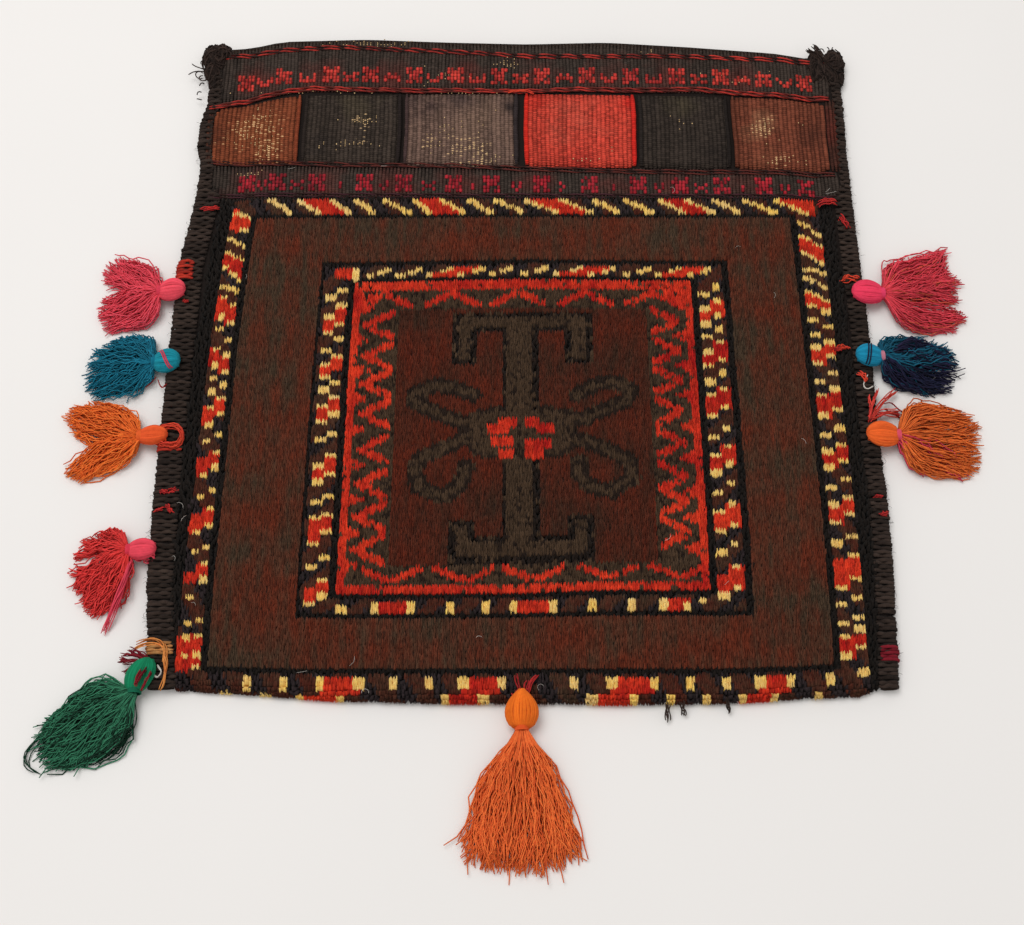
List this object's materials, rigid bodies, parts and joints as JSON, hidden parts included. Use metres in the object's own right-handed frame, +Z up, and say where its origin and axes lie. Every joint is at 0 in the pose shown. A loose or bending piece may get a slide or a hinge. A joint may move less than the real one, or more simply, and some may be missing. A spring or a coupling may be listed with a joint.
{
  "type": "hand-knotted bag",
  "caption": "Hand-knotted wool saddle-bag pouch lying flat: pile face with nested frames, flat-woven slit band at the open mouth, overcast sides and hinged yarn tassels.",
  "frame": {"origin": "middle of the bag's flat underside", "axes": "+Z up out of the pile face, +Y towards the open mouth, +X to the right as seen from above with the mouth at the far end"},
  "size_m": [0.7246, 0.7099, 0.0211],
  "materials": {
    "pile_and_weave": "hand-knotted wool pile and flat weave, matt",
    "goat_hair": "overcast goat hair, matt",
    "cream_wool": "wool yarn, matt",
    "crimson_wool": "wool yarn, matt",
    "red_wool": "wool yarn, matt",
    "yarn_crimson": "wool yarn, matt",
    "yarn_green": "wool yarn, matt",
    "yarn_navy": "wool yarn, matt",
    "yarn_orange": "wool yarn, matt",
    "yarn_pink": "wool yarn, matt",
    "yarn_rose": "wool yarn, matt",
    "yarn_rust": "wool yarn, matt",
    "yarn_teal": "wool yarn, matt"
  },
  "bodies": {
    "bag": {"bag_cloth": "pile_and_weave", "binding_left": "goat_hair", "binding_right": "goat_hair", "corner_wrap_left": "cream_wool", "knot_top_left": "goat_hair", "knot_top_right": "goat_hair", "maroon_tuft_left": "crimson_wool", "orange_loop_left": "red_wool", "red_tuft_right": "crimson_wool", "red_wrap_left": "red_wool", "red_wrap_right": "crimson_wool", "tassel_crimson_right_tie": "yarn_crimson", "tassel_green_corner_tie": "yarn_green", "tassel_navy_right_tie": "yarn_navy", "tassel_orange_bottom_tie": "yarn_orange", "tassel_orange_left_tie": "yarn_orange", "tassel_pink_left_tie": "yarn_pink", "tassel_rose_left_tie": "yarn_rose", "tassel_rust_right_tie": "yarn_rust", "tassel_teal_left_tie": "yarn_teal"},
    "tassel_pink_left": {"tassel_pink_left_skein": "yarn_pink", "tassel_pink_left_neck_thread": "yarn_pink"},
    "tassel_teal_left": {"tassel_teal_left_skein": "yarn_teal", "tassel_teal_left_neck_thread": "yarn_teal"},
    "tassel_orange_left": {"tassel_orange_left_skein": "yarn_orange", "tassel_orange_left_neck_thread": "yarn_orange"},
    "tassel_rose_left": {"tassel_rose_left_skein": "yarn_rose", "tassel_rose_left_neck_thread": "yarn_rose"},
    "tassel_green_corner": {"tassel_green_corner_skein": "yarn_green", "tassel_green_corner_neck_thread": "yarn_green"},
    "tassel_orange_bottom": {"tassel_orange_bottom_skein": "yarn_orange", "tassel_orange_bottom_neck_thread": "yarn_orange"},
    "tassel_crimson_right": {"tassel_crimson_right_skein": "yarn_crimson", "tassel_crimson_right_neck_thread": "yarn_crimson"},
    "tassel_navy_right": {"tassel_navy_right_skein": "yarn_navy", "tassel_navy_right_neck_thread": "yarn_navy"},
    "tassel_rust_right": {"tassel_rust_right_skein": "yarn_rust", "tassel_rust_right_neck_thread": "yarn_rust"}
  },
  "joints": [
    {"name": "pink_left_swing", "type": "hinge", "parent": "bag", "child": "tassel_pink_left", "pos_m": [-0.27354, 0.048, 0.0132], "axis": [0, 1, 0], "range_deg": [0, 150]},
    {"name": "teal_left_swing", "type": "hinge", "parent": "bag", "child": "tassel_teal_left", "pos_m": [-0.27197, -0.016, 0.0132], "axis": [0, 1, 0], "range_deg": [0, 150]},
    {"name": "orange_left_swing", "type": "hinge", "parent": "bag", "child": "tassel_orange_left", "pos_m": [-0.27601, -0.08, 0.0132], "axis": [0, 1, 0], "range_deg": [0, 150]},
    {"name": "rose_left_swing", "type": "hinge", "parent": "bag", "child": "tassel_rose_left", "pos_m": [-0.27597, -0.173, 0.0132], "axis": [0, 1, 0], "range_deg": [0, 150]},
    {"name": "green_corner_swing", "type": "hinge", "parent": "bag", "child": "tassel_green_corner", "pos_m": [-0.27296, -0.258, 0.0132], "axis": [-1, 0, 0], "range_deg": [0, 150]},
    {"name": "orange_bottom_swing", "type": "hinge", "parent": "bag", "child": "tassel_orange_bottom", "pos_m": [-0.001, -0.281, 0.01494], "axis": [-1, 0, 0], "range_deg": [0, 150]},
    {"name": "crimson_right_swing", "type": "hinge", "parent": "bag", "child": "tassel_crimson_right", "pos_m": [0.26798, 0.046, 0.0132], "axis": [0, -1, 0], "range_deg": [0, 150]},
    {"name": "navy_right_swing", "type": "hinge", "parent": "bag", "child": "tassel_navy_right", "pos_m": [0.26603, -0.011, 0.0132], "axis": [0, -1, 0], "range_deg": [0, 150]},
    {"name": "rust_right_swing", "type": "hinge", "parent": "bag", "child": "tassel_rust_right", "pos_m": [0.26797, -0.079, 0.0132], "axis": [0, -1, 0], "range_deg": [0, 150]}
  ]
}
